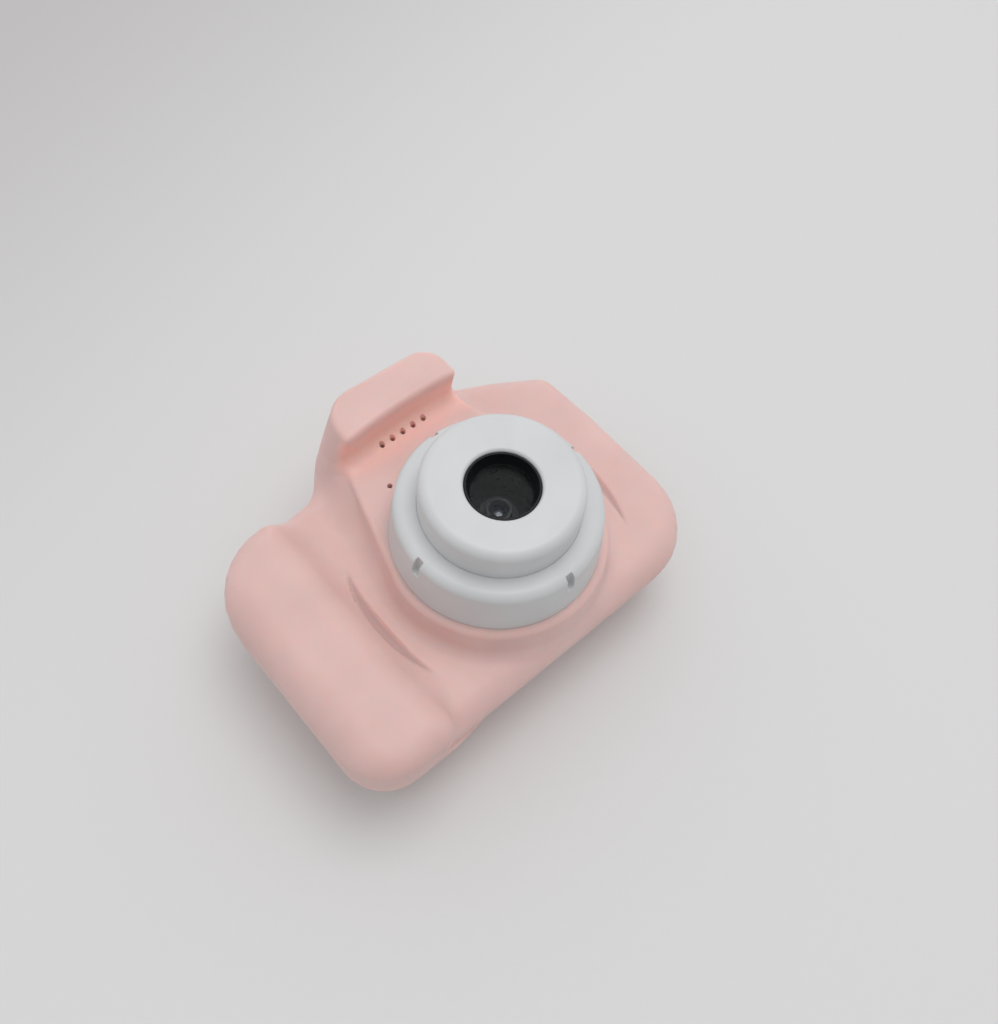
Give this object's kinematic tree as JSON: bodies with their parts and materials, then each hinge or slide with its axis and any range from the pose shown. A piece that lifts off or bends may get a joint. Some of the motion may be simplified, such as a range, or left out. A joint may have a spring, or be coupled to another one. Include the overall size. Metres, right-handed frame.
{
  "type": "toy camera",
  "caption": "Small toy camera in a rounded pink case with a grip, a hump over the lens, a white lens barrel and ring, a screen and keys at the back and push buttons on top.",
  "frame": {"origin": "middle of the footprint on the plane of the flat back, on which the camera lies", "axes": "+Z out of the lens, +Y toward the top of the camera with its hump, -X toward the grip"},
  "size_m": [0.0812, 0.0606, 0.045],
  "materials": {
    "shell": "matte moulded",
    "white_plastic": "satin",
    "bezel": "gloss",
    "clear_window": "clear",
    "lens_black": "satin",
    "lens_glass": "coated",
    "screen_black": "gloss",
    "display": "gloss",
    "display_metal": "brushed",
    "board": "satin",
    "chip": "matte",
    "ribbon": "satin",
    "connector": "satin",
    "screw_steel": "satin",
    "socket_steel": "satin",
    "foam": "matte",
    "battery_wrap": "satin",
    "speaker_black": "satin",
    "switch_body": "satin",
    "plunger": "matte"
  },
  "bodies": {
    "camera": {"front_shell": "shell", "rear_shell": "shell", "lens_barrel": "white_plastic", "front_ring": "white_plastic", "lens_bezel": "bezel", "lens_window": "clear_window", "lens_holder": "lens_black", "lens_cell": "lens_black", "lens_glass": "lens_glass", "sensor_board": "board", "image_sensor": "chip", "sensor_ribbon": "ribbon", "sensor_screws": "screw_steel", "barrel_screws": "screw_steel", "case_screws": "screw_steel", "main_board": "board", "board_chips": "chip", "ribbon_socket": "connector", "battery": "battery_wrap", "battery_pad": "foam", "speaker": "speaker_black", "microphone": "socket_steel", "usb_socket": "socket_steel", "card_socket": "socket_steel", "screen_cover": "screen_black", "display_panel": "display", "display_frame": "display_metal", "display_pad": "foam", "display_ribbon": "ribbon", "key_switches": "switch_body", "shutter_switch": "switch_body", "shutter_board": "board", "power_switch": "switch_body", "power_board": "board"},
    "ok_key": {"key_ok": "white_plastic", "ok_plunger": "plunger"},
    "up_key": {"key_up": "white_plastic", "up_plunger": "plunger"},
    "down_key": {"key_down": "white_plastic", "down_plunger": "plunger"},
    "left_key": {"key_left": "white_plastic", "left_plunger": "plunger"},
    "right_key": {"key_right": "white_plastic", "right_plunger": "plunger"},
    "menu_key": {"key_menu": "white_plastic", "menu_plunger": "plunger"},
    "play_key": {"key_play": "white_plastic", "play_plunger": "plunger"},
    "shutter": {"shutter_button": "white_plastic", "shutter_plunger": "plunger"},
    "power": {"power_button": "white_plastic", "power_plunger": "plunger"},
    "card": {"memory_card": "chip"}
  },
  "joints": [
    {"name": "ok_press", "type": "slide", "parent": "camera", "child": "ok_key", "axis": [0, 0, 1], "range_m": [0, 0.0004], "stiffness_N_per_m": 800},
    {"name": "up_press", "type": "slide", "parent": "camera", "child": "up_key", "axis": [0, 0, 1], "range_m": [0, 0.0004], "stiffness_N_per_m": 800},
    {"name": "down_press", "type": "slide", "parent": "camera", "child": "down_key", "axis": [0, 0, 1], "range_m": [0, 0.0004], "stiffness_N_per_m": 800},
    {"name": "left_press", "type": "slide", "parent": "camera", "child": "left_key", "axis": [0, 0, 1], "range_m": [0, 0.0004], "stiffness_N_per_m": 800},
    {"name": "right_press", "type": "slide", "parent": "camera", "child": "right_key", "axis": [0, 0, 1], "range_m": [0, 0.0004], "stiffness_N_per_m": 800},
    {"name": "menu_press", "type": "slide", "parent": "camera", "child": "menu_key", "axis": [0, 0, 1], "range_m": [0, 0.0004], "stiffness_N_per_m": 800},
    {"name": "play_press", "type": "slide", "parent": "camera", "child": "play_key", "axis": [0, 0, 1], "range_m": [0, 0.0004], "stiffness_N_per_m": 800},
    {"name": "shutter_press", "type": "slide", "parent": "camera", "child": "shutter", "axis": [0, -1, 0], "range_m": [0, 0.0006], "stiffness_N_per_m": 900},
    {"name": "power_press", "type": "slide", "parent": "camera", "child": "power", "axis": [-0.4828, -0.8757, 0], "range_m": [0, 0.0005], "stiffness_N_per_m": 900},
    {"name": "card_slide", "type": "slide", "parent": "camera", "child": "card", "axis": [1, 0, 0], "range_m": [0, 0.012]}
  ]
}
